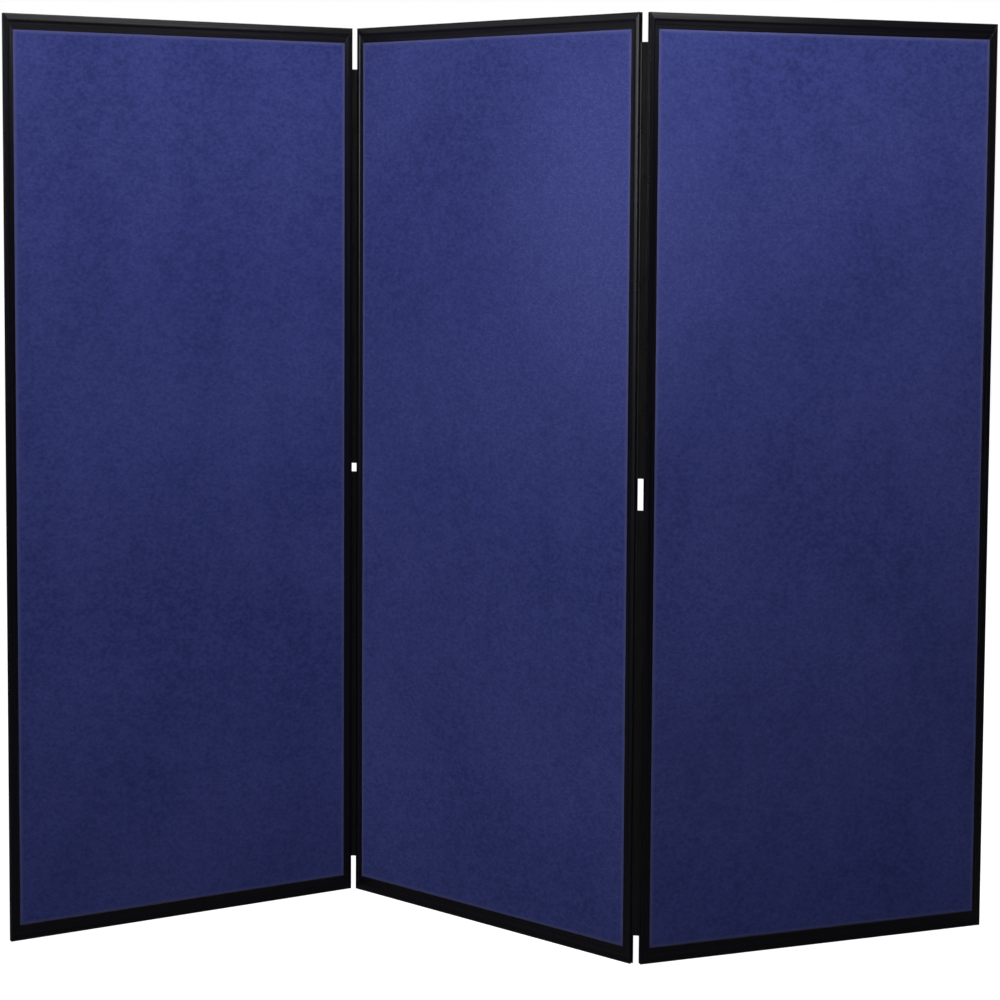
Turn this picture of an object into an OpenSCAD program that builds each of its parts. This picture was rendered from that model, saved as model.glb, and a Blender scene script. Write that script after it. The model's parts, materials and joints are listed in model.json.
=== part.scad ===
// Folding partition wall of three framed, fabric-faced panels joined by slide-in hinge strips.
// Millimetres, +Z up. The front faces -Y, and the origin is on the floor, in the middle of the outline.
// A panel's own frame has X along its width from the left end, Y through its thickness and Z up.

/* [Panels] */
// Height of each panel
panel_h = 1829; // [1400:1:2100]
// Width of each panel
panel_w = 762; // [500:1:1000]
// Thickness of each panel over its frame
panel_t = 12; // [11.5:0.1:12.5]
// Thickness of the core board
core_t = 6; // [5:0.1:6.4]
// Thickness of each fabric facing
fabric_t = 1.5; // [1:0.1:1.7]

/* [Frame] */
// Face width of the top and bottom rails
rail_w = 31; // [28:0.5:40]
// Face width of the stiles
stile_w = 18.5; // [17:0.5:24]
// Radius of the long outer edges
edge_r = 2; // [1:0.1:2.5]
// Wall between the hollows inside a frame bar
wall_t = 1.4; // [1:0.1:1.6]
// Outer wall of a rail
rail_wall = 2.4; // [1.6:0.1:3]
// Width of a corner key's leg across the stile
key_w = 4; // [3:0.1:4]
// Thickness of the corner keys
key_t = 6; // [4:0.1:7]
// Length of each leg of a corner key
key_len = 60; // [40:1:100]
// Room left round the board inside the frame
board_play = 0.5; // [0.2:0.1:2]

/* [Hinge channel] */
// Width of the channel's mouth in the stile's edge
mouth_w = 3; // [2.8:0.1:3.4]
// Depth of the lips beside the mouth
mouth_d = 1.6; // [1.4:0.1:2]
// Width of the channel behind the lips
head_w = 6; // [5.4:0.1:6.4]
// Depth of the channel behind the lips
head_d = 3.4; // [3:0.1:3.6]
// Play between a strip's bead and the channel, on each side
bead_play = 0.2; // [0.1:0.05:0.3]

/* [Hinge strips] */
// Clear width between two panels
seam_gap = 16; // [16:0.5:24]
// Length of each hinge strip
strip_len = 828; // [500:1:828]
// Thickness of the flexible web
web_t = 1.6; // [1:0.1:2]
// How far outside the stile's edge the web bends
pivot_inset = 1.5; // [1.3:0.1:1.5]
// How far a bead's neck stands out of the channel
neck_out = 0.3; // [0:0.1:0.3]
// From the top of the left seam to its upper strip
left_top_gap = 85; // [0:1:90]
// Between the two strips of the left seam
left_mid_gap = 18; // [5:1:60]
// From the top of the right seam to its upper strip
right_top_gap = 56; // [0:1:60]
// Between the two strips of the right seam
right_mid_gap = 61; // [5:1:65]

/* [Standing position] */
// Direction that the middle panel runs in, from its left end
middle_heading = -43; // [-60:1:0]
// Turn of the left panel from the middle one, closing towards the front
left_fold = 74; // [0:1:120]
// Turn of the right panel from the middle one, closing towards the back
right_fold = 64; // [0:1:120]

/* [Hidden] */
lip_t = (panel_t - core_t - 2 * fabric_t) / 2;
seat_t = core_t + 2 * fabric_t;
channel_d = mouth_d + head_d;
key_x = channel_d + wall_t + key_w / 2;
seat_d = stile_w - key_x - key_w / 2 - wall_t;
mitre = rail_w / stile_w;
key_z = key_x * mitre;
key_h = key_w * mitre;
board_x = stile_w - seat_d + board_play;
board_z = rail_w - seat_d + board_play;
web_w = seam_gap - 2 * pivot_inset;
cut = 1;

function along(angle) = [cos(angle), sin(angle)];

// Plan of the wall, laid out from the middle of the middle panel
left_heading = middle_heading + left_fold;
right_heading = middle_heading + right_fold;
left_web_heading = middle_heading + left_fold / 2;
right_web_heading = middle_heading + right_fold / 2;
left_pivot = -along(middle_heading) * (panel_w / 2 + pivot_inset);
right_pivot = along(middle_heading) * (panel_w / 2 + pivot_inset);
left_far_pivot = left_pivot - along(left_web_heading) * web_w;
right_far_pivot = right_pivot + along(right_web_heading) * web_w;

PANELS = ["left_panel", "middle_panel", "right_panel"];
headings = [left_heading, middle_heading, right_heading];
ends = [
    left_far_pivot - along(left_heading) * (panel_w + pivot_inset),
    -along(middle_heading) * panel_w / 2,
    right_far_pivot + along(right_heading) * pivot_inset
];

// Centres of the rounded plan corners, whose box has the same middle as the wall's own box
plan_corners = [
    for (i = [0:2], x = [edge_r, panel_w - edge_r], y = [-1, 1])
        ends[i] + along(headings[i]) * x + along(headings[i] + 90) * y * (panel_t / 2 - edge_r)
];
plan_x = [for (c = plan_corners) c.x];
plan_y = [for (c = plan_corners) c.y];
middle = [(min(plan_x) + max(plan_x)) / 2, (min(plan_y) + max(plan_y)) / 2];

// Each seam: name, panel on its far side, which way that side lies, and its strips' lower ends
SEAMS = ["left", "right"];
seam_panels = [0, 2];
seam_sides = [-1, 1];
near_pivots = [left_pivot, right_pivot];
web_headings = [left_web_heading, right_web_heading];
STRIPS = ["upper", "lower"];
strip_z = [
    for (gaps = [[left_top_gap, left_mid_gap], [right_top_gap, right_mid_gap]])
        [panel_h - gaps[0] - strip_len, panel_h - gaps[0] - gaps[1] - 2 * strip_len]
];

PANEL_PARTS = ["top_rail", "bottom_rail", "left_stile", "right_stile",
    "corner_keys", "core_board", "front_fabric", "back_fabric"];
STRIP_PARTS = ["inner_bead", "web", "outer_bead"];

$fn = 48;

// ---- placing ----

// Stands a panel's part in the wall
module at_panel(i)
    translate([ends[i].x - middle.x, ends[i].y - middle.y, 0])
        rotate(headings[i])
            children();

// A copy for the other end of the panel
module right_end()
    translate([panel_w, 0, 0])
        mirror([1, 0, 0])
            children();

// A copy for the top of the panel
module top_end()
    translate([0, 0, panel_h])
        mirror([0, 0, 1])
            children();

// ---- sections: X is the depth from the bar's outer edge, Y the panel's thickness ----

// Slot across the middle of the panel's thickness
module slot_section(from, to, width)
    translate([from, -width / 2])
        square([to - from, width]);

// The bar's outline: round long edges outside, and two round-nosed lips over the board
module bar_outline(w) {
    slot_section(edge_r, w - lip_t / 2, panel_t);
    slot_section(0, w - lip_t / 2, panel_t - 2 * edge_r);
    for (side = [-1, 1]) {
        translate([edge_r, side * (panel_t / 2 - edge_r)])
            circle(edge_r);
        translate([w - lip_t / 2, side * (panel_t - lip_t) / 2])
            circle(lip_t / 2);
    }
}

// The seat that the board and its facings stand in
module seat_section(w)
    slot_section(w - seat_d, w + cut, seat_t);

// The T-shaped channel that takes a hinge strip
module channel_section() {
    slot_section(-cut, mouth_d + cut / 2, mouth_w);
    slot_section(mouth_d, channel_d, head_w);
}

module stile_section()
    difference() {
        bar_outline(stile_w);
        seat_section(stile_w);
        channel_section();
        slot_section(key_x - key_w / 2, key_x + key_w / 2, key_t);
    }

module rail_section()
    difference() {
        bar_outline(rail_w);
        seat_section(rail_w);
        slot_section(rail_wall, key_z - key_h / 2 - wall_t, key_t);
        slot_section(key_z - key_h / 2, key_z + key_h / 2, key_t);
        slot_section(key_z + key_h / 2 + wall_t, rail_w - seat_d - wall_t, key_t);
    }

// ---- frame ----

// A prism through the panel with its outline drawn on the panel's face
module through_panel(points, t = 2 * panel_t)
    rotate([90, 0, 0])
        linear_extrude(t, center = true)
            polygon(points);

// Bar up the left end, mitred at both ends, with the strip's channel open from end to end
module left_stile()
    color("#17171a")
        intersection() {
            linear_extrude(panel_h)
                stile_section();
            through_panel([
                [0, 0],
                [stile_w, rail_w],
                [stile_w, panel_h - rail_w],
                [0, panel_h]
            ]);
        }

module right_stile()
    right_end()
        left_stile();

// Bar along the bottom, mitred, with the strips' channels cut through its two tips
module bottom_rail()
    color("#17171a")
        difference() {
            intersection() {
                rotate([90, 0, 90])
                    linear_extrude(panel_w)
                        rotate(90)
                            rail_section();
                through_panel([
                    [0, 0],
                    [panel_w, 0],
                    [panel_w - stile_w, rail_w],
                    [stile_w, rail_w]
                ]);
            }
            channel_cut();
            right_end()
                channel_cut();
        }

module channel_cut()
    translate([0, 0, -cut])
        linear_extrude(rail_w + cut)
            channel_section();

module top_rail()
    top_end()
        bottom_rail();

// L-shaped key that fills the hollows of a rail and a stile where they meet
module corner_key() {
    x0 = key_x - key_w / 2;
    z0 = key_z - key_h / 2;
    through_panel([
        [x0, z0],
        [x0 + key_len, z0],
        [x0 + key_len, z0 + key_h],
        [x0 + key_w, z0 + key_h],
        [x0 + key_w, z0 + key_len],
        [x0, z0 + key_len]
    ], key_t);
}

module corner_keys()
    color("#3a3a3d") {
        corner_key();
        right_end()
            corner_key();
        top_end() {
            corner_key();
            right_end()
                corner_key();
        }
    }

// ---- board and facings ----

// A sheet the size of the board, from one depth in the panel to another
module board_sheet(y0, y1)
    translate([board_x, y0, board_z])
        cube([panel_w - 2 * board_x, y1 - y0, panel_h - 2 * board_z]);

module core_board()
    color("#b9a57f")
        board_sheet(-core_t / 2, core_t / 2);

module front_fabric()
    color("#2b2f66")
        board_sheet(-seat_t / 2, -core_t / 2);

module back_fabric()
    color("#2b2f66")
        board_sheet(core_t / 2, seat_t / 2);

// ---- hinge strips ----

// T-shaped bead that grips the channel, with its neck reaching just out of the mouth
module bead()
    color("#101012")
        linear_extrude(strip_len) {
            slot_section(-neck_out, mouth_d + 2 * bead_play, mouth_w - 2 * bead_play);
            slot_section(mouth_d + bead_play, channel_d - bead_play, head_w - 2 * bead_play);
        }

// Flexible web between the two lines that it bends on
module web()
    color("#101012")
        linear_extrude(strip_len) {
            slot_section(0, web_w, web_t);
            for (x = [0, web_w])
                translate([x, 0])
                    circle(web_t / 2);
        }

// Bead in the middle panel's channel
module inner_bead(s, k)
    at_panel(1)
        translate([0, 0, strip_z[s][k]])
            if (seam_sides[s] < 0)
                bead();
            else
                right_end()
                    bead();

// Bead in the channel of the panel beyond the seam
module outer_bead(s, k)
    at_panel(seam_panels[s])
        translate([0, 0, strip_z[s][k]])
            if (seam_sides[s] > 0)
                bead();
            else
                right_end()
                    bead();

module seam_web(s, k)
    translate([near_pivots[s].x - middle.x, near_pivots[s].y - middle.y, strip_z[s][k]])
        rotate(seam_sides[s] > 0 ? web_headings[s] : web_headings[s] + 180)
            web();

// ---- nodes ----

for (i = [0:2]) {
    at_panel(i) top_rail();
    at_panel(i) bottom_rail();
    at_panel(i) left_stile();
    at_panel(i) right_stile();
    at_panel(i) corner_keys();
    at_panel(i) core_board();
    at_panel(i) front_fabric();
    at_panel(i) back_fabric();
}
for (s = [0, 1], k = [0, 1]) {
    inner_bead(s, k);
    seam_web(s, k);
    outer_bead(s, k);
}
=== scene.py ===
"""Folding partition wall: three fabric-faced panels in black frames, joined by hinge strips"""

import json
import math

import bmesh
import bpy
from mathutils import Matrix, Vector


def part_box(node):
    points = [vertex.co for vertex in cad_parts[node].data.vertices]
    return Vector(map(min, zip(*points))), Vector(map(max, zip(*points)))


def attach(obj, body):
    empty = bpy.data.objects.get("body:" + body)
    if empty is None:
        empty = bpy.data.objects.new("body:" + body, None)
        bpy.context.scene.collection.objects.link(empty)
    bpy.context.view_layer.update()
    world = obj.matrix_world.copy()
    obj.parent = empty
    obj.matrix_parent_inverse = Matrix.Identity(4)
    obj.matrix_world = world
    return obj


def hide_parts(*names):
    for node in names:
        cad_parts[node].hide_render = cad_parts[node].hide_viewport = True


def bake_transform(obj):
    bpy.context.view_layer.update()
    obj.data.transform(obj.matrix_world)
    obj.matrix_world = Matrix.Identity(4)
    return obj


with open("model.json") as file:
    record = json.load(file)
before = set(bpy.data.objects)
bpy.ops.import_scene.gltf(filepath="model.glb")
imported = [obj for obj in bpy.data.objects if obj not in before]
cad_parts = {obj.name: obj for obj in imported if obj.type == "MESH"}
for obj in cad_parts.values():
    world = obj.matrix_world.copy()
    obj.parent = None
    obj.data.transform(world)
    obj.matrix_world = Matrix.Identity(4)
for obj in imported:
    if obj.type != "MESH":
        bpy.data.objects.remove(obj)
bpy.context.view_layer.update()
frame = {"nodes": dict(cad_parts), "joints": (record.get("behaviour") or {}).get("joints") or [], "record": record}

# ---------------------------------------------------------------- sizes, in metres

MM = 0.001
RAIL_W = 31 * MM
STILE_W = 18.5 * MM
PANEL_T = 12 * MM

# The frame's face rises from its outer edge to a ridge, then falls to the lip over the fabric.
# The ridge's place and the stations are shares of the bar's width
RIDGE_AT = 0.42
FACE_STATIONS = (0.09, 0.18, 0.27, 0.35, RIDGE_AT, RIDGE_AT + 0.03, 0.6, 0.76, 0.9)
OUTER_FALL = 0.8 * MM
FALL_CURVE = 1.15
RIDGE_STEP = 0.25 * MM
LIP_FALL = 0.7 * MM
OUTER_ROUNDING = 1.6 * MM
SMALL_ROUNDING = 0.22 * MM
SAW_ALLOWANCE = 6 * MM

# Folds below the first angle are shaded smooth, and edges above the second are rounded
SMOOTH_BELOW = math.radians(32)
SHARP_ABOVE = math.radians(38)

# The seat that the board stands in, and the T-shaped channel that takes a hinge strip
SEAT_DEPTH = 6.7 * MM
SEAT_T = 9 * MM
MOUTH_W = 3 * MM
MOUTH_DEPTH = 1.6 * MM
HEAD_W = 6 * MM
HEAD_DEPTH = 3.4 * MM

# A facing starts below the lips. Each step of its rise is a distance inside the frame, in
# millimetres, and a share of the whole rise
BOARD_PLAY = 0.5 * MM
FABRIC_T = 1.2 * MM
PILE_RISE = 0.6 * MM
UNDER_LIP = 0.3 * MM
PILE_STEPS = ((0.3, 0.25), (0.9, 0.3), (2.0, 0.25), (4.5, 0.12), (9.0, 0.08))
BULGE_ACROSS = 0.22
BULGE_HEIGHT = 0.35 * MM
GRID_ACROSS, GRID_UP = 44, 104

# A hinge strip, and the stations along its web from the pivot outwards
PIVOT_INSET = 1.5 * MM
BEAD_W = 5.6 * MM
BEAD_FROM = 1.8 * MM
BEAD_TO = 4.8 * MM
BEAD_ROUNDING = 0.6 * MM
NECK_W = 2.6 * MM
NECK_OUT = 0.3 * MM
NECK_TAPER = 0.45 * MM
WEB_T = 1.6 * MM
BEND_STATIONS = tuple(x * MM for x in (-0.3, 0, 0.3, 0.7, 1.1, 1.6))
GROOVE_AT = 2.7 * MM
GROOVE_STATIONS = tuple(x * MM for x in (2.3, 2.7, 3.1))
GROOVE_WAIST = 0.45
FLAT_STATIONS = tuple(x * MM for x in (4.2, 5.4))

# Steps between one copy's pattern and the next one's
BAR_SHIFT = Vector((0, 0.4, 2.9))
NAP_SHIFT = Vector((1.3, 0.7, 2.1))
STRIP_SHIFT = Vector((0, 0, 1.7))

joint_at = {joint["name"]: Vector(joint["pos_m"]) for joint in frame["joints"]}
mount_at = {mount["name"]: Vector(mount["pos_m"]) for mount in frame["record"]["mounts"]}
PANEL_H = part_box("middle_panel_left_stile")[1].z


def flat(point):
    """The point brought down to the floor"""
    return Vector((point.x, point.y, 0))


def towards(start, end):
    """The level direction from one point to another"""
    return (flat(end) - flat(start)).normalized()


middle_run = towards(joint_at["left_inner_bend"], joint_at["right_inner_bend"])
left_run = towards(mount_at["left_end_channel"], joint_at["left_outer_bend"])
right_run = towards(joint_at["right_outer_bend"], mount_at["right_end_channel"])

# Each panel's lower ends, left and right
PANEL_ENDS = {
    "left_panel": (
        flat(mount_at["left_end_channel"]),
        joint_at["left_outer_bend"] - left_run * PIVOT_INSET,
    ),
    "middle_panel": (
        joint_at["left_inner_bend"] + middle_run * PIVOT_INSET,
        joint_at["right_inner_bend"] - middle_run * PIVOT_INSET,
    ),
    "right_panel": (
        joint_at["right_outer_bend"] + right_run * PIVOT_INSET,
        flat(mount_at["right_end_channel"]),
    ),
}
PANEL_W = (PANEL_ENDS["middle_panel"][1] - PANEL_ENDS["middle_panel"][0]).length

# A facing is as large as the core board
BOARD_X = STILE_W - SEAT_DEPTH + BOARD_PLAY
BOARD_Z = RAIL_W - SEAT_DEPTH + BOARD_PLAY
FACING_W = PANEL_W - 2 * BOARD_X
FACING_H = PANEL_H - 2 * BOARD_Z

# The other end, or the other side, of a panel
UNTURNED = Matrix.Identity(4)
TURNED_ROUND = Matrix.Translation((PANEL_W, 0, 0)) @ Matrix.Rotation(math.pi, 4, "Z")

# A rail's depth from its outer edge runs up the panel, and its length along the panel
BAR_TO_BOTTOM = Matrix(((0, 0, 1, 0), (0, -1, 0, 0), (1, 0, 0, 0), (0, 0, 0, 1)))
BAR_TO_TOP = Matrix(((0, 0, -1, PANEL_W), (0, -1, 0, 0), (-1, 0, 0, PANEL_H), (0, 0, 0, 1)))


def standing(panel):
    """Carries a panel's own frame, with X along its width and Z up, to its place in the wall"""
    left, right = PANEL_ENDS[panel]
    run = towards(left, right)
    return Matrix.Translation(left) @ Matrix.Rotation(math.atan2(run.y, run.x), 4, "Z")


# ---------------------------------------------------------------- modelling helpers


def only(piece):
    """Makes this the one selected, active object"""
    bpy.ops.object.select_all(action="DESELECT")
    piece.select_set(True)
    bpy.context.view_layer.objects.active = piece


def block(name, low, high):
    """Starts a piece as a block between two corners, and opens it in edit mode"""
    bpy.ops.object.select_all(action="DESELECT")
    centre = [(a + b) / 2 for a, b in zip(low, high)]
    size = [b - a for a, b in zip(low, high)]
    bpy.ops.mesh.primitive_cube_add(size=1, location=centre, scale=size)
    piece = bpy.context.object
    piece.name = name
    bpy.ops.object.transform_apply(location=True, rotation=True, scale=True)
    bpy.ops.object.mode_set(mode="EDIT")
    return piece


def centre_of(item):
    """The middle of a vertex, an edge or a face"""
    if isinstance(item, bmesh.types.BMVert):
        return item.co
    return sum((corner.co for corner in item.verts), Vector()) / len(item.verts)


def pick(piece, kind, wanted):
    """Selects the vertices, edges or faces that pass the test, and nothing else"""
    bpy.ops.mesh.select_mode(type=kind)
    bpy.ops.mesh.select_all(action="DESELECT")
    mesh = bmesh.from_edit_mesh(piece.data)
    for item in {"VERT": mesh.verts, "EDGE": mesh.edges, "FACE": mesh.faces}[kind]:
        if wanted(item):
            item.select_set(True)
    mesh.select_flush_mode()
    bmesh.update_edit_mesh(piece.data)


def near(a, b, reach=0.02 * MM):
    """Whether two measures are the same, but for rounding"""
    return abs(a - b) < reach


def upright(edge):
    """Whether an edge runs more or less along Z"""
    run = edge.verts[1].co - edge.verts[0].co
    return abs(run.z) > 0.9 * run.length


def cut(at, normal, **options):
    """Cuts the whole open mesh along a plane"""
    bpy.ops.mesh.select_all(action="SELECT")
    bpy.ops.mesh.bisect(plane_co=at, plane_no=normal, threshold=0.00001, **options)


def pull(x=0):
    """Extrudes what is selected along X, or in place"""
    bpy.ops.mesh.extrude_region_move(TRANSFORM_OT_translate={"value": (x, 0, 0)})


def scale_y(ratio):
    """Scales what is selected in Y, about the middle of the panel's thickness"""
    bpy.ops.transform.resize(value=(1, ratio, 1), center_override=(0, 0, 0))


def close(piece):
    """Closes edit mode with every face pointing outwards, and shades the round parts smooth"""
    bpy.ops.mesh.select_all(action="SELECT")
    bpy.ops.mesh.remove_doubles(threshold=0.000005)
    bpy.ops.mesh.normals_make_consistent(inside=False)
    bpy.ops.object.mode_set(mode="OBJECT")
    only(piece)
    bpy.ops.object.shade_smooth_by_angle(angle=SMOOTH_BELOW)


def modify(piece, kind, **settings):
    """Adds a modifier and applies it"""
    only(piece)
    modifier = piece.modifiers.new(kind.lower(), kind)
    for key, value in settings.items():
        setattr(modifier, key, value)
    bpy.ops.object.modifier_apply(modifier=modifier.name)


def remember(piece, attribute):
    """Keeps each point's place from before the piece is stood in the wall, for its material"""
    kept = piece.data.attributes.new(attribute, "FLOAT_VECTOR", "POINT")
    for point, value in zip(piece.data.vertices, kept.data):
        value.vector = point.co


def vary(piece, attribute, offset):
    """Moves a copy's pattern along, so that no two copies are marked alike"""
    for value in piece.data.attributes[attribute].data:
        value.vector += offset


def copy_to(pattern, name, place, material):
    """A copy with its own mesh, with its place in the mesh"""
    piece = bpy.data.objects.new(name, pattern.data.copy())
    bpy.context.collection.objects.link(piece)
    piece.data.name = name
    piece.data.transform(place)
    piece.data.materials.clear()
    piece.data.materials.append(material)
    return piece


def discard(*patterns):
    """Removes what was only there to be copied"""
    for pattern in patterns:
        bpy.data.objects.remove(pattern)


# ---------------------------------------------------------------- frame bars


def face_fall(share):
    """How far the face lies below its ridge, at a share of the bar's width from the outer edge"""
    if share <= RIDGE_AT:
        return OUTER_FALL * (1 - share / RIDGE_AT) ** FALL_CURVE
    inner = (share - RIDGE_AT) / (1 - RIDGE_AT)
    return RIDGE_STEP + (LIP_FALL - RIDGE_STEP) * inner


def bar_blank(name, width, length):
    """A moulded bar, longer than its finished length: X is the depth from its outer edge"""
    bar = block(name, (0, -PANEL_T / 2, -SAW_ALLOWANCE),
                (width, PANEL_T / 2, length + SAW_ALLOWANCE))
    for share in FACE_STATIONS:
        cut((share * width, 0, 0), (1, 0, 0))
    for share in (0, *FACE_STATIONS, 1):
        pick(bar, "VERT", lambda v, x=share * width: near(v.co.x, x))
        scale_y(1 - 2 * face_fall(share) / PANEL_T)
    for side in (-1, 1):
        cut((0, side * SEAT_T / 2, 0), (0, 1, 0))
    pick(bar, "FACE", lambda f: near(centre_of(f).x, width) and abs(centre_of(f).y) < SEAT_T / 2)
    pull(x=-SEAT_DEPTH)
    pick(bar, "EDGE", lambda e: upright(e) and near(centre_of(e).x, 0)
         and abs(centre_of(e).y) > SEAT_T / 2 + 0.1 * MM)
    bpy.ops.mesh.bevel(offset=OUTER_ROUNDING, segments=5, affect="EDGES")
    return bar


def cut_channel(bar):
    """The T-shaped hinge channel up the outer edge"""
    for side in (-1, 1):
        cut((0, side * MOUTH_W / 2, 0), (0, 1, 0))
    pick(bar, "FACE", lambda f: near(centre_of(f).x, 0) and abs(centre_of(f).y) < MOUTH_W / 2)
    pull(x=MOUTH_DEPTH)
    pull()
    scale_y(HEAD_W / MOUTH_W)
    pull(x=HEAD_DEPTH)


def mitre(width, length, next_width):
    """Cuts both ends on the line from the panel's outer corner to its inner one"""
    for end, way in ((0, 1), (length, -1)):
        normal = Vector((next_width, 0, -width * way))
        cut((0, 0, end), normal, use_fill=True, clear_outer=True)


def soften(bar):
    """Rounds every sharp edge a little, so that joints and lips catch the light"""
    modify(bar, "BEVEL", width=SMALL_ROUNDING, segments=2, limit_method="ANGLE",
           angle_limit=SHARP_ABOVE, use_clamp_overlap=True)


def stile_bar():
    """The bar up a panel's side, with the hinge channel in its outer edge"""
    bar = bar_blank("stile_pattern", STILE_W, PANEL_H)
    cut_channel(bar)
    mitre(STILE_W, PANEL_H, RAIL_W)
    close(bar)
    soften(bar)
    remember(bar, "bar")
    return bar


def channel_cutter():
    """A T-shaped prism as tall as a rail, for the channel's way through the rails' tips"""
    clear, lips = 1 * MM, MOUTH_DEPTH + 0.1 * MM
    cutter = block("channel_cutter", (-clear, -MOUTH_W / 2, -clear), (lips, MOUTH_W / 2, RAIL_W))
    pick(cutter, "FACE", lambda f: near(centre_of(f).x, lips))
    pull()
    scale_y(HEAD_W / MOUTH_W)
    pull(x=HEAD_DEPTH)
    close(cutter)
    return cutter


def rail_bar():
    """The bar along a panel's top or bottom, with the channels' way cut through its tips"""
    bar = bar_blank("rail_pattern", RAIL_W, PANEL_W)
    mitre(RAIL_W, PANEL_W, STILE_W)
    close(bar)
    cutter = channel_cutter()
    for end in (UNTURNED, TURNED_ROUND):
        turned = copy_to(cutter, "turned_cutter", BAR_TO_BOTTOM.inverted() @ end, None)
        modify(bar, "BOOLEAN", operation="DIFFERENCE", solver="EXACT", object=turned)
        discard(turned)
    discard(cutter)
    soften(bar)
    remember(bar, "bar")
    return bar


def frame_pieces(material):
    """Four bars round each panel"""
    stile, rail = stile_bar(), rail_bar()
    places = {
        "left_stile": (stile, UNTURNED),
        "right_stile": (stile, TURNED_ROUND),
        "bottom_rail": (rail, BAR_TO_BOTTOM),
        "top_rail": (rail, BAR_TO_TOP),
    }
    made = 0
    for panel in PANEL_ENDS:
        for part, (pattern, place) in places.items():
            node = f"{panel}_{part}"
            bar = copy_to(pattern, f"{node}_bar", standing(panel) @ place, material)
            vary(bar, "bar", BAR_SHIFT * made)
            made += 1
            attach(bar, panel)
            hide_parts(node)
    discard(stile, rail)


# ---------------------------------------------------------------- fabric facings


def facing():
    """A panel's front facing: the pile stands up inside the lips and is pressed down under them"""
    bpy.ops.object.select_all(action="DESELECT")
    bpy.ops.mesh.primitive_grid_add(
        x_subdivisions=GRID_ACROSS, y_subdivisions=GRID_UP, size=1, rotation=(math.pi / 2, 0, 0),
        location=(PANEL_W / 2, -SEAT_T / 2 + UNDER_LIP, PANEL_H / 2))
    cloth = bpy.context.object
    cloth.name = "facing_pattern"
    bpy.ops.object.transform_apply(location=True, rotation=True, scale=True)
    bpy.ops.object.mode_set(mode="EDIT")
    bpy.ops.mesh.select_all(action="SELECT")
    bpy.ops.transform.resize(value=(FACING_W, 1, FACING_H),
                             center_override=(PANEL_W / 2, 0, PANEL_H / 2))
    for inside, _ in PILE_STEPS:
        for x in (STILE_W + inside * MM, PANEL_W - STILE_W - inside * MM):
            cut((x, 0, 0), (1, 0, 0))
        for z in (RAIL_W + inside * MM, PANEL_H - RAIL_W - inside * MM):
            cut((0, 0, z), (0, 0, 1))
    for inside, share in PILE_STEPS:
        reach_x = PANEL_W / 2 - STILE_W - (inside - 0.01) * MM
        reach_z = PANEL_H / 2 - RAIL_W - (inside - 0.01) * MM
        pick(cloth, "VERT", lambda v, x=reach_x, z=reach_z:
             abs(v.co.x - PANEL_W / 2) < x and abs(v.co.z - PANEL_H / 2) < z)
        bpy.ops.transform.translate(value=(0, -share * (PILE_RISE + UNDER_LIP), 0))
    close(cloth)
    unevenness = bpy.data.textures.new("unevenness", "CLOUDS")
    unevenness.noise_scale = BULGE_ACROSS
    modify(cloth, "DISPLACE", texture=unevenness, strength=BULGE_HEIGHT, mid_level=0.5,
           texture_coords="LOCAL")
    modify(cloth, "SOLIDIFY", thickness=FABRIC_T, offset=-1)
    remember(cloth, "panel")
    remember(cloth, "nap")
    return cloth


def fabric_pieces(material):
    """A facing on the front and the back of each panel"""
    pattern = facing()
    made = 0
    for panel in PANEL_ENDS:
        for side, place in (("front", UNTURNED), ("back", TURNED_ROUND)):
            cloth = copy_to(pattern, f"{panel}_{side}_facing", standing(panel) @ place, material)
            vary(cloth, "nap", NAP_SHIFT * made)
            made += 1
            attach(cloth, panel)
            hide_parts(f"{panel}_{side}_fabric")
    discard(pattern)


# ---------------------------------------------------------------- hinge strips


def strip_half(bend, length, half_web):
    """Half of a hinge strip's width, from its bead to the web's middle, bent about the pivot line.
    X runs out of the channel, with the pivot at zero"""
    strip = block("strip_pattern", (-PIVOT_INSET - BEAD_TO, -BEAD_W / 2, 0),
                  (-PIVOT_INSET - BEAD_FROM, BEAD_W / 2, length))
    head_end = -PIVOT_INSET - BEAD_FROM
    neck_end = -PIVOT_INSET + NECK_OUT
    pick(strip, "EDGE", upright)
    bpy.ops.mesh.bevel(offset=BEAD_ROUNDING, segments=3, affect="EDGES")
    for side in (-1, 1):
        cut((0, side * NECK_W / 2, 0), (0, 1, 0))
    pick(strip, "FACE", lambda f: near(centre_of(f).x, head_end)
         and near(centre_of(f).y, 0, 0.5 * MM))
    pull(x=neck_end - head_end)
    pull(x=NECK_TAPER)
    scale_y(WEB_T / NECK_W)
    end = neck_end + NECK_TAPER
    for station in (*BEND_STATIONS, *GROOVE_STATIONS, *FLAT_STATIONS, half_web):
        pull(x=station - end)
        end = station
    pick(strip, "VERT", lambda v: near(v.co.x, GROOVE_AT))
    scale_y(GROOVE_WAIST)
    for station in reversed(BEND_STATIONS):
        pick(strip, "VERT", lambda v, x=station: v.co.x > x + 0.01 * MM)
        bpy.ops.transform.rotate(value=-bend / len(BEND_STATIONS), orient_axis="Z",
                                 center_override=(station, 0, 0))
    close(strip)
    remember(strip, "strip")
    return strip


def signed_angle(a, b):
    """How far it is from one level direction to another, seen from above"""
    return math.atan2(a.x * b.y - a.y * b.x, a.dot(b))


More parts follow.
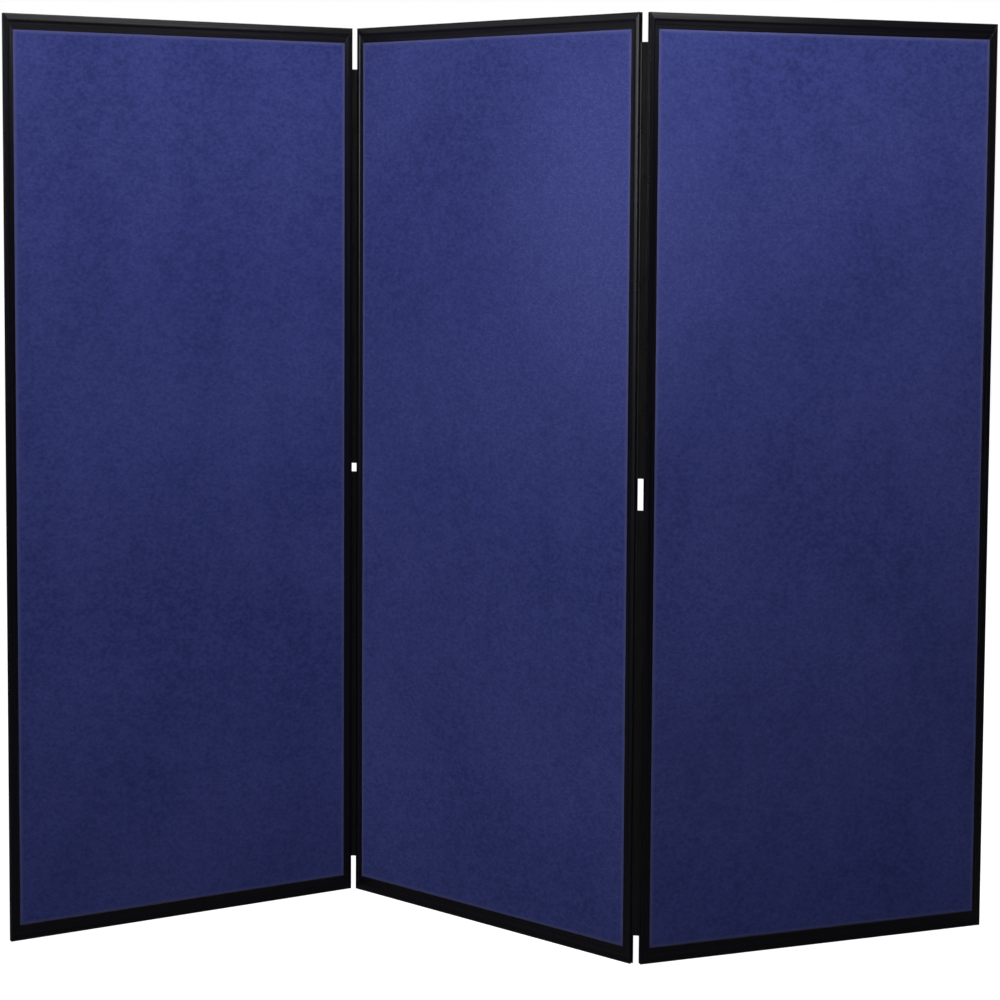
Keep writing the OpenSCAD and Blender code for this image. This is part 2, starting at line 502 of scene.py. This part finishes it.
def strip_pieces(material):
    """Two strips to a seam, in two halves that meet in the middle of the web"""
    # Seam, half, the panel that it grips, the way out of that panel's edge, the far side's pivot
    sides = (
        ("left", "inner", "middle_panel", -middle_run, "left_outer_bend"),
        ("left", "outer", "left_panel", left_run, "left_inner_bend"),
        ("right", "inner", "middle_panel", middle_run, "right_outer_bend"),
        ("right", "outer", "right_panel", -right_run, "right_inner_bend"),
    )
    made = 0
    for seam, part, panel, outwards, far_joint in sides:
        pivot, far = joint_at[f"{seam}_{part}_bend"], joint_at[far_joint]
        across = towards(pivot, far)
        for level in ("upper", "lower"):
            low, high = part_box(f"{seam}_{level}_web")
            pattern = strip_half(signed_angle(outwards, across), high.z - low.z,
                                 (flat(far) - flat(pivot)).length / 2)
            turn = Matrix.Rotation(math.atan2(outwards.y, outwards.x), 4, "Z")
            place = Matrix.Translation((pivot.x, pivot.y, low.z)) @ turn
            half = copy_to(pattern, f"{seam}_{level}_strip_{part}", place, material)
            discard(pattern)
            vary(half, "strip", STRIP_SHIFT * made)
            made += 1
            covers = [f"{seam}_{level}_{part}_bead"]
            if part == "inner":
                covers.append(f"{seam}_{level}_web")
            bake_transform(half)
            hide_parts(*covers)


# ---------------------------------------------------------------- shader helpers


def new_group(name, inputs, outputs):
    """A shader node group with named sockets. Each input is (kind, name, default)"""
    group = bpy.data.node_groups.new(name, "ShaderNodeTree")
    for kind, label, default in inputs:
        socket = group.interface.new_socket(label, in_out="INPUT", socket_type=f"NodeSocket{kind}")
        if default is not None:
            socket.default_value = default
    for kind, label in outputs:
        group.interface.new_socket(label, in_out="OUTPUT", socket_type=f"NodeSocket{kind}")
    return group


class Sheet:
    """Places and links nodes in one node tree.
    An input is given by its name, with _ for a space, or by its number, as i0 or i1"""

    def __init__(self, tree):
        self.tree = tree
        self.column = 0

    def node(self, kind, settings=None, **inputs):
        """A new node of a kind, with its settings and what its inputs are fed"""
        made = self.tree.nodes.new(f"ShaderNode{kind}")
        self.column += 1
        made.location = (180 * (self.column % 8), -220 * (self.column // 8))
        for key, value in (settings or {}).items():
            setattr(made, key, value)
        for key, value in inputs.items():
            label = int(key[1:]) if key[1:].isdigit() else key.replace("_", " ")
            self.feed(made.inputs[label], value)
        return made

    def feed(self, socket, value):
        """Links another node's output to a socket, or sets a plain value on it"""
        if isinstance(value, bpy.types.NodeSocket):
            self.tree.links.new(value, socket)
        else:
            socket.default_value = value

    def math(self, operation, a, b=0.0, c=0.0, clamp=False):
        """One step of arithmetic, on one to three values"""
        settings = {"operation": operation, "use_clamp": clamp}
        return self.node("Math", settings, i0=a, i1=b, i2=c).outputs[0]

    def total(self, *shares):
        """Adds up values, each times its share"""
        added = 0.0
        for value, share in shares:
            added = self.math("MULTIPLY_ADD", value, share, added)
        return added

    def remap(self, value, low, high, to_low=0.0, to_high=1.0):
        """Carries one range smoothly to another, and keeps to its ends"""
        made = self.node("MapRange", {"interpolation_type": "SMOOTHSTEP"}, Value=value,
                         From_Min=low, From_Max=high, To_Min=to_low, To_Max=to_high)
        return made.outputs[0]

    def stretched(self, vector, scale):
        """A place with each axis scaled, which draws a pattern out along the small ones"""
        made = self.node("VectorMath", {"operation": "MULTIPLY"}, i0=vector, i1=scale)
        return made.outputs[0]

    def noise(self, vector, scale, detail=3.0, roughness=0.5):
        """Uneven grey at a scale, in 1/m"""
        made = self.node("TexNoise", None, Vector=vector, Scale=scale, Detail=detail,
                         Roughness=roughness)
        return made.outputs["Fac"]

    def tint(self, amount, a, b):
        """Mixes two colours, which are inputs 6 and 7 of a Mix node, with output 2 as the result"""
        return self.node("Mix", {"data_type": "RGBA"}, i0=amount, i6=a, i7=b).outputs[2]

    def group(self, group, **inputs):
        """Places a node group, and gives its outputs"""
        made = self.tree.nodes.new("ShaderNodeGroup")
        made.node_tree = group
        for key, value in inputs.items():
            self.feed(made.inputs[key.replace("_", " ")], value)
        return made.outputs


def start_group(group):
    """The group's sheet, what it is given and what it puts out"""
    given = group.nodes.new("NodeGroupInput").outputs
    out = group.nodes.new("NodeGroupOutput").inputs
    return Sheet(group), given, out


def start_material(name, **constants):
    """A material with one Principled shader, whose plain numbers are set on its own sockets"""
    material = bpy.data.materials.new(name)
    material.use_nodes = True
    tree = material.node_tree
    shader = tree.nodes["Principled BSDF"]
    for key, value in constants.items():
        shader.inputs[key.replace("_", " ")].default_value = value
    return material, Sheet(tree), shader


def build_drawn_lines():
    """Fine lines that run along an extruded piece"""
    group = new_group("drawn_lines", [("Vector", "Place", None), ("Float", "Lines", 900.0)],
                      [("Float", "Height"), ("Float", "Streaks")])
    sheet, given, out = start_group(group)
    long_lines = sheet.stretched(given["Place"], (1, 1, 0.004))
    fine = sheet.noise(long_lines, scale=given["Lines"], detail=4.0, roughness=0.6)
    short_lines = sheet.stretched(given["Place"], (1, 1, 0.012))
    broad = sheet.noise(short_lines, scale=160.0, detail=2.0)
    sheet.feed(out["Height"], fine)
    sheet.feed(out["Streaks"], broad)
    return group


def build_scuffs():
    """Worn and rubbed patches, strongest where the mask is"""
    group = new_group("scuffs", [("Vector", "Place", None), ("Float", "Where", 1.0),
                                 ("Float", "Amount", 0.5)], [("Float", "Mask")])
    sheet, given, out = start_group(group)
    blotches = sheet.noise(given["Place"], scale=22.0, detail=4.0, roughness=0.6)
    patches = sheet.remap(blotches, 0.48, 0.68)
    lengthways = sheet.stretched(given["Place"], (1, 1, 0.15))
    scratches = sheet.noise(lengthways, scale=700.0, detail=3.0, roughness=0.7)
    marks = sheet.remap(scratches, 0.5, 0.72)
    both = sheet.math("MULTIPLY", patches, marks)
    placed = sheet.math("MULTIPLY", both, given["Where"])
    sheet.feed(out["Mask"], sheet.math("MULTIPLY", placed, given["Amount"], clamp=True))
    return group


def build_dust():
    """Dust that settles on whatever faces up"""
    group = new_group("dust", [("Float", "Amount", 0.5)], [("Float", "Mask")])
    sheet, given, out = start_group(group)
    normal = sheet.node("NewGeometry").outputs["Normal"]
    up = sheet.remap(sheet.node("SeparateXYZ", None, Vector=normal).outputs["Z"], 0.8, 0.98)
    place = sheet.node("TexCoord").outputs["Object"]
    blotches = sheet.noise(place, scale=60.0, detail=5.0, roughness=0.65)
    patches = sheet.remap(blotches, 0.3, 0.7, 0.35, 1.0)
    settled = sheet.math("MULTIPLY", up, patches)
    sheet.feed(out["Mask"], sheet.math("MULTIPLY", settled, given["Amount"], clamp=True))
    return group


def build_pebble():
    """A fine moulded or pressed grain"""
    group = new_group("pebble", [("Vector", "Place", None), ("Float", "Scale", 900.0)],
                      [("Float", "Height")])
    sheet, given, out = start_group(group)
    cells = sheet.node("TexVoronoi", {"feature": "SMOOTH_F1"}, Vector=given["Place"],
                       Scale=given["Scale"]).outputs["Distance"]
    sheet.feed(out["Height"], cells)
    return group


def build_loop_pile():
    """Brushed loop pile: matted loops, with curled and loose fibres, and broad changes of nap"""
    puts_out = [("Float", label) for label in ("Height", "Fleck", "Nap", "Fibre", "Curl")]
    group = new_group("loop_pile", [("Vector", "Place", None)], puts_out)
    sheet, given, out = start_group(group)
    place = given["Place"]
    wander = sheet.node("TexNoise", None, Vector=place, Scale=120.0, Detail=2.0).outputs["Color"]
    shift = sheet.node("VectorMath", {"operation": "SCALE"}, i0=wander, Scale=0.006).outputs[0]
    moved = sheet.node("VectorMath", {"operation": "ADD"}, i0=place, i1=shift).outputs[0]
    flattened = sheet.stretched(moved, (0.8, 1, 1))
    loops = sheet.node("TexVoronoi", {"feature": "SMOOTH_F1"}, Vector=flattened,
                       Scale=430.0).outputs["Distance"]
    combed = sheet.stretched(moved, (0.45, 1, 1))
    fibres = sheet.noise(combed, scale=1700.0, detail=3.0, roughness=0.7)
    matted = sheet.stretched(moved, (0.75, 1, 1))
    fine_mats = sheet.noise(matted, scale=150.0, detail=4.0, roughness=0.62)
    broadly_matted = sheet.stretched(place, (0.8, 1, 1))
    broad_mats = sheet.noise(broadly_matted, scale=38.0, detail=3.0, roughness=0.55)
    mats = sheet.total((fine_mats, 0.75), (broad_mats, 0.25))
    brushed = sheet.stretched(place, (1, 1, 0.6))
    nap = sheet.noise(brushed, scale=4.2, detail=4.0, roughness=0.58)

    # A curled fibre lies wherever this noise passes its middle level
    winding = sheet.noise(flattened, scale=95.0, detail=3.0, roughness=0.55)
    from_middle = sheet.math("ABSOLUTE", sheet.math("SUBTRACT", winding, 0.5))
    curl = sheet.remap(from_middle, 0.035, 0.0)
    height = sheet.total((loops, -0.9), (fibres, 0.5), (mats, 0.8), (curl, 0.35))
    sheet.feed(out["Curl"], curl)
    sheet.feed(out["Height"], height)
    sheet.feed(out["Fleck"], mats)
    sheet.feed(out["Nap"], nap)
    sheet.feed(out["Fibre"], fibres)
    return group


def build_painted_light_patch():
    """A soft ragged patch round one place: the mask of a painted pool of light on the fabric"""
    group = new_group("painted_light_patch", [("Vector", "Where", None), ("Float", "Reach", 0.4)],
                      [("Float", "Mask")])
    sheet, given, out = start_group(group)
    place = sheet.node("TexCoord").outputs["Object"]
    apart = sheet.node("VectorMath", {"operation": "SUBTRACT"}, i0=place, i1=given["Where"])
    apart = sheet.stretched(apart.outputs[0], (1, 1, 0.7))
    length = sheet.node("VectorMath", {"operation": "LENGTH"}, i0=apart).outputs["Value"]
    uneven = sheet.noise(place, scale=9.0, detail=4.0, roughness=0.6)
    ragged = sheet.math("MULTIPLY", sheet.math("SUBTRACT", uneven, 0.5), 0.5)
    ratio = sheet.math("ADD", sheet.math("DIVIDE", length, given["Reach"]), ragged)
    sheet.feed(out["Mask"], sheet.remap(ratio, 1.0, 0.1))
    return group


def build_border():
    """A band along a panel's visible fabric edge, from the panel's own coordinates, where a highlight is painted
    """
    group = new_group("border", [("Vector", "Place", None), ("Float", "Band", 0.004)],
                      [("Float", "Mask")])
    sheet, given, out = start_group(group)
    parts = sheet.node("SeparateXYZ", None, Vector=given["Place"]).outputs
    from_x = sheet.math("ABSOLUTE", sheet.math("SUBTRACT", parts["X"], PANEL_W / 2))
    from_z = sheet.math("ABSOLUTE", sheet.math("SUBTRACT", parts["Z"], PANEL_H / 2))
    room_x = sheet.math("SUBTRACT", PANEL_W / 2 - STILE_W, from_x)
    room_z = sheet.math("SUBTRACT", PANEL_H / 2 - RAIL_W, from_z)
    room = sheet.math("MINIMUM", room_x, room_z)
    ratio = sheet.math("DIVIDE", room, given["Band"])
    sheet.feed(out["Mask"], sheet.remap(ratio, 1.0, 0.1))
    return group


DRAWN_LINES = build_drawn_lines()
SCUFFS = build_scuffs()
DUST = build_dust()
PEBBLE = build_pebble()
LOOP_PILE = build_loop_pile()
PAINTED_LIGHT_PATCH = build_painted_light_patch()
BORDER = build_border()


def bump(sheet, height, strength, distance):
    """A normal that follows a height"""
    return sheet.node("Bump", None, Height=height, Strength=strength, Distance=distance).outputs[0]


# ---------------------------------------------------------------- materials

DUST_COLOUR = (0.32, 0.31, 0.29, 1)
FRAME_BLACK = (0.0028, 0.0025, 0.0042, 1)
FRAME_STREAK = (0.0058, 0.0053, 0.0080, 1)
FRAME_WORN = (0.045, 0.045, 0.048, 1)
STRIP_BLACK = (0.0030, 0.0031, 0.0036, 1)
STRIP_STREAK = (0.0065, 0.0065, 0.0072, 1)
STRIP_WORN = (0.035, 0.035, 0.037, 1)
NAVY_DEEP = (0.0180, 0.0258, 0.131, 1)
NAVY_FLECK = (0.035, 0.0455, 0.199, 1)
# Paler navy for broad changes of nap, and for the painted pool of light on the middle panel
NAVY_NAP_AND_PAINTED_LIGHT = (0.045, 0.057, 0.230, 1)
NAVY_CURL = (0.066, 0.076, 0.265, 1)
# The colour of the painted highlight along the fabric's edge at the frame
NAVY_EDGE_HIGHLIGHT = (0.085, 0.088, 0.215, 1)
LINT = (0.12, 0.13, 0.3, 1)
SHEEN = (0.5, 0.55, 0.9, 1)
FIBRE_DARK = (0.2, 0.125, 0.06, 1)
FIBRE_PALE = (0.42, 0.3, 0.17, 1)
FIBRE_CLUMP = (0.3, 0.2, 0.1, 1)
KEY_DARK = (0.035, 0.035, 0.038, 1)
KEY_PALE = (0.06, 0.06, 0.064, 1)

# The middle of the painted pool of light, high on the middle panel, and how far round it the patch reaches
PAINTED_LIGHT_AT = (0.19, -0.19, 1.4)
PAINTED_LIGHT_REACH = 0.42
# The width of the painted highlight along the fabric's edge
EDGE_HIGHLIGHT_BAND = 9 * MM
RUBBED_FROM, RUBBED_TO = 2.6 * MM, 0.2 * MM


def frame_plastic():
    """Black rigid plastic, satin, with lines along the extrusion and rubbed outer edges"""
    material, sheet, shader = start_material("frame_plastic", Specular_IOR_Level=0.3)
    place = sheet.node("Attribute", {"attribute_name": "bar"}).outputs["Vector"]
    lines = sheet.group(DRAWN_LINES, Place=place, Lines=1100.0)
    across = sheet.node("SeparateXYZ", None, Vector=place).outputs["X"]
    edge = sheet.remap(across, RUBBED_FROM, RUBBED_TO, 0.15, 1.0)
    rubbed = sheet.group(SCUFFS, Place=place, Where=edge, Amount=0.55)["Mask"]
    dust = sheet.group(DUST, Amount=0.16)["Mask"]
    black = sheet.tint(lines["Streaks"], FRAME_BLACK, FRAME_STREAK)
    worn = sheet.tint(rubbed, black, FRAME_WORN)
    colour = sheet.tint(dust, worn, DUST_COLOUR)
    rough = sheet.remap(lines["Streaks"], 0.3, 0.7, 0.22, 0.3)
    rough = sheet.math("ADD", rough, sheet.total((rubbed, 0.3), (dust, 0.4)))
    sheet.feed(shader.inputs["Base Color"], colour)
    sheet.feed(shader.inputs["Roughness"], rough)
    grooves = bump(sheet, lines["Height"], strength=0.22, distance=0.06 * MM)
    sheet.feed(shader.inputs["Normal"], grooves)
    return material


def strip_vinyl():
    """Soft black vinyl of the hinge strips, slightly wavy along its length"""
    material, sheet, shader = start_material("strip_vinyl", Specular_IOR_Level=0.34)
    place = sheet.node("Attribute", {"attribute_name": "strip"}).outputs["Vector"]
    lines = sheet.group(DRAWN_LINES, Place=place, Lines=1500.0)
    waves = sheet.noise(sheet.stretched(place, (0.4, 0.4, 1)), scale=16.0, detail=2.0)
    rubbed = sheet.group(SCUFFS, Place=place, Where=1.0, Amount=0.35)["Mask"]
    black = sheet.tint(lines["Streaks"], STRIP_BLACK, STRIP_STREAK)
    colour = sheet.tint(rubbed, black, STRIP_WORN)
    rough = sheet.remap(waves, 0.3, 0.7, 0.26, 0.36)
    height = sheet.total((lines["Height"], 0.15), (waves, 2.5))
    sheet.feed(shader.inputs["Base Color"], colour)
    sheet.feed(shader.inputs["Roughness"], sheet.math("ADD", rough, rubbed, clamp=True))
    sheet.feed(shader.inputs["Normal"], bump(sheet, height, strength=0.5, distance=0.3 * MM))
    return material


def loop_fabric():
    """Navy brushed loop fabric: matt, flecked, with a painted highlight along the frame and a painted pool of
    light high on the middle panel
    """
    material, sheet, shader = start_material(
        "loop_fabric", Sheen_Weight=0.22, Sheen_Roughness=0.45, Sheen_Tint=SHEEN,
        Specular_IOR_Level=0.18)
    nap_place = sheet.node("Attribute", {"attribute_name": "nap"}).outputs["Vector"]
    panel_place = sheet.node("Attribute", {"attribute_name": "panel"}).outputs["Vector"]
    pile = sheet.group(LOOP_PILE, Place=nap_place)
    edge = sheet.group(BORDER, Place=panel_place, Band=EDGE_HIGHLIGHT_BAND)["Mask"]
    # The mask of a painted pool of light, high on the middle panel
    patch = sheet.group(PAINTED_LIGHT_PATCH, Where=PAINTED_LIGHT_AT, Reach=PAINTED_LIGHT_REACH)["Mask"]
    fleck = sheet.remap(pile["Fleck"], 0.34, 0.66)
    navy = sheet.tint(fleck, NAVY_DEEP, NAVY_FLECK)
    nap = sheet.remap(pile["Nap"], 0.3, 0.7)
    # Paler where the nap changes, and paler still inside the painted pool of light
    nap_and_painted_light = sheet.math("MAXIMUM", sheet.math("MULTIPLY", nap, 0.35),
                        sheet.math("MULTIPLY", patch, 0.8))
    brushed = sheet.tint(nap_and_painted_light, navy, NAVY_NAP_AND_PAINTED_LIGHT)
    # Curled fibres show more where the nap changes, and inside the painted pool of light
    curls_and_painted_light = sheet.math("MAXIMUM", sheet.remap(pile["Nap"], 0.4, 0.65, 0.1, 0.5), patch)
    curls_and_painted_light = sheet.math("MULTIPLY", pile["Curl"], curls_and_painted_light)
    curled = sheet.tint(curls_and_painted_light, brushed, NAVY_CURL)
    lint = sheet.remap(pile["Fibre"], 0.66, 0.8, 0.0, 0.3)
    fibred = sheet.tint(lint, curled, LINT)
    # A painted highlight: a paler band of fabric along the frame's lips
    colour = sheet.tint(sheet.math("MULTIPLY", edge, 0.65), fibred, NAVY_EDGE_HIGHLIGHT)
    rough = sheet.remap(pile["Fleck"], 0.3, 0.7, 0.98, 0.86)
    sheet.feed(shader.inputs["Base Color"], colour)
    sheet.feed(shader.inputs["Roughness"], rough)
    loops = bump(sheet, pile["Height"], strength=0.7, distance=0.45 * MM)
    sheet.feed(shader.inputs["Normal"], loops)
    return material


def core_fibreboard():
    """Pressed wood-fibre board, brown, with darker fibres"""
    material, sheet, shader = start_material("core_fibreboard")
    place = sheet.node("TexCoord").outputs["Object"]
    upwards = sheet.stretched(place, (1, 1, 0.5))
    fibres = sheet.noise(upwards, scale=420.0, detail=5.0, roughness=0.7)
    clumps = sheet.noise(place, scale=60.0, detail=3.0)
    brown = sheet.tint(sheet.remap(fibres, 0.35, 0.65), FIBRE_DARK, FIBRE_PALE)
    colour = sheet.tint(sheet.math("MULTIPLY", clumps, 0.35), brown, FIBRE_CLUMP)
    sheet.feed(shader.inputs["Base Color"], colour)
    sheet.feed(shader.inputs["Roughness"], sheet.remap(fibres, 0.3, 0.7, 0.8, 0.95))
    sheet.feed(shader.inputs["Normal"], bump(sheet, fibres, strength=0.4, distance=0.2 * MM))
    return material


def key_plastic():
    """Dark grey moulded plastic of the corner keys, finely pebbled"""
    material, sheet, shader = start_material("key_plastic")
    place = sheet.node("TexCoord").outputs["Object"]
    grain = sheet.group(PEBBLE, Place=place, Scale=1400.0)["Height"]
    mottle = sheet.noise(place, scale=90.0, detail=3.0)
    colour = sheet.tint(mottle, KEY_DARK, KEY_PALE)
    sheet.feed(shader.inputs["Base Color"], colour)
    sheet.feed(shader.inputs["Roughness"], sheet.remap(mottle, 0.3, 0.7, 0.45, 0.6))
    sheet.feed(shader.inputs["Normal"], bump(sheet, grain, strength=0.35, distance=0.05 * MM))
    return material


def repaint(node, material):
    """Gives a carried-over CAD node its material"""
    shown = frame["nodes"][node]
    shown.data.materials.clear()
    shown.data.materials.append(material)


# ---------------------------------------------------------------- studio

WHITE = (1, 1, 1, 1)
DARK_FLOOR = (0.08, 0.08, 0.085, 1)
PALE_FLOOR = (0.4, 0.4, 0.4, 1)
ROOM_GREY = (0.75, 0.78, 0.85, 1)
ROOM_STRENGTH = 0.05

# The floor's own glow near the wall and far from it
GLOW_NEAR, GLOW_FAR = 0.84, 1.0
NEAR_FLOOR, FAR_FLOOR = 1.3, 4.0

CAMERA_AT = Vector((-0.0474, -4.9834, 1.4832))
CAMERA_YAW, CAMERA_PITCH, CAMERA_ROLL = (math.radians(angle) for angle in (0.433, 4.246, 0.345))


def floor():
    """A pale sheet for the camera, and a dark one for what would shine back at the frames"""
    bpy.ops.object.select_all(action="DESELECT")
    bpy.ops.mesh.primitive_plane_add(size=60, location=(0, 0, -0.5 * MM))
    ground = bpy.context.object
    ground.name = "floor"
    material, sheet, shader = start_material("studio_floor", Roughness=0.9, Emission_Color=WHITE)
    seen = sheet.node("LightPath").outputs["Is Camera Ray"]
    paper = sheet.tint(seen, DARK_FLOOR, PALE_FLOOR)
    place = sheet.node("TexCoord").outputs["Object"]
    away = sheet.node("VectorMath", {"operation": "LENGTH"}, i0=place).outputs["Value"]
    brightness = sheet.remap(away, NEAR_FLOOR, FAR_FLOOR, GLOW_NEAR, GLOW_FAR)
    glow = sheet.math("MULTIPLY", seen, brightness)
    sheet.feed(shader.inputs["Base Color"], paper)
    sheet.feed(shader.inputs["Emission Strength"], glow)
    ground.data.materials.append(material)


def surroundings():
    """A white backdrop for the camera, and a dim grey room for everything else"""
    world = bpy.data.worlds.new("studio")
    bpy.context.scene.world = world
    world.use_nodes = True
    tree = world.node_tree
    tree.nodes.clear()
    sheet = Sheet(tree)
    seen = sheet.node("LightPath").outputs["Is Camera Ray"]
    white = sheet.node("Background", None, Color=WHITE, Strength=1.0).outputs[0]
    room = sheet.node("Background", None, Color=ROOM_GREY, Strength=ROOM_STRENGTH).outputs[0]
    both = sheet.node("MixShader", None, i0=seen, i1=room, i2=white).outputs[0]
    sheet.node("OutputWorld", None, Surface=both)


def softbox(name, at, aim, size, power):
    """A flat soft light, out of the camera's sight"""
    light = bpy.data.lights.new(name, "AREA")
    light.shape = "RECTANGLE"
    light.size, light.size_y = size
    light.energy = power
    lamp = bpy.data.objects.new(name, light)
    bpy.context.collection.objects.link(lamp)
    lamp.location = at
    lamp.visible_camera = False
    lamp.rotation_euler = (Vector(aim) - Vector(at)).to_track_quat("-Z", "Y").to_euler()


def studio_lights():
    """The key above the front, a tall strip far to the left, one box behind, and small glints"""
    softbox("key", at=(0.2, -1.6, 3.2), aim=(0.1, 0, 1.6), size=(2.8, 0.8), power=79)
    softbox("front_strip", at=(-0.4, -6.3, 1.5), aim=(0, 0, 1.2), size=(1.1, 2.4), power=3)
    softbox("right_box", at=(1.7, -1.75, 2.36), aim=(-0.6, 0, 1.8), size=(0.8, 0.36), power=4)
    softbox("left_strip", at=(-4.7, -2.9, 2.4), aim=(0.25, -0.25, 1.55), size=(0.65, 1.9), power=88)
    softbox("far_left_box", at=(-2.9, -0.2, 2.3), aim=(0, 0, 1.8), size=(1.0, 0.36), power=1.2)
    softbox("back_box", at=(-0.2, 2.2, 3.3), aim=(0, 0, 1.1), size=(3.0, 1.0), power=95)


def camera():
    """Stands before the wall at eye height, looking slightly down"""
    eye = bpy.data.cameras.new("camera")
    eye.lens = 89.6
    eye.sensor_width = 36
    eye.shift_y = -0.12
    level = math.cos(CAMERA_PITCH)
    ahead = Vector((math.sin(CAMERA_YAW) * level, math.cos(CAMERA_YAW) * level,
                    -math.sin(CAMERA_PITCH)))
    right = ahead.cross(Vector((0, 0, 1))).normalized()
    up = right.cross(ahead)
    leaning = right * math.cos(CAMERA_ROLL) + up * math.sin(CAMERA_ROLL)
    turned = Matrix((leaning, leaning.cross(ahead), -ahead)).transposed().to_4x4()
    seen_from = bpy.data.objects.new("camera", eye)
    bpy.context.collection.objects.link(seen_from)
    seen_from.matrix_world = Matrix.Translation(CAMERA_AT) @ turned
    bpy.context.scene.camera = seen_from


# ---------------------------------------------------------------- the wall

camera()
surroundings()
studio_lights()
floor()
bpy.context.scene.view_settings.view_transform = "Standard"

frame_pieces(frame_plastic())
fabric_pieces(loop_fabric())
strip_pieces(strip_vinyl())

board_material, keys_material = core_fibreboard(), key_plastic()
for panel_name in PANEL_ENDS:
    repaint(f"{panel_name}_core_board", board_material)
    repaint(f"{panel_name}_corner_keys", keys_material)
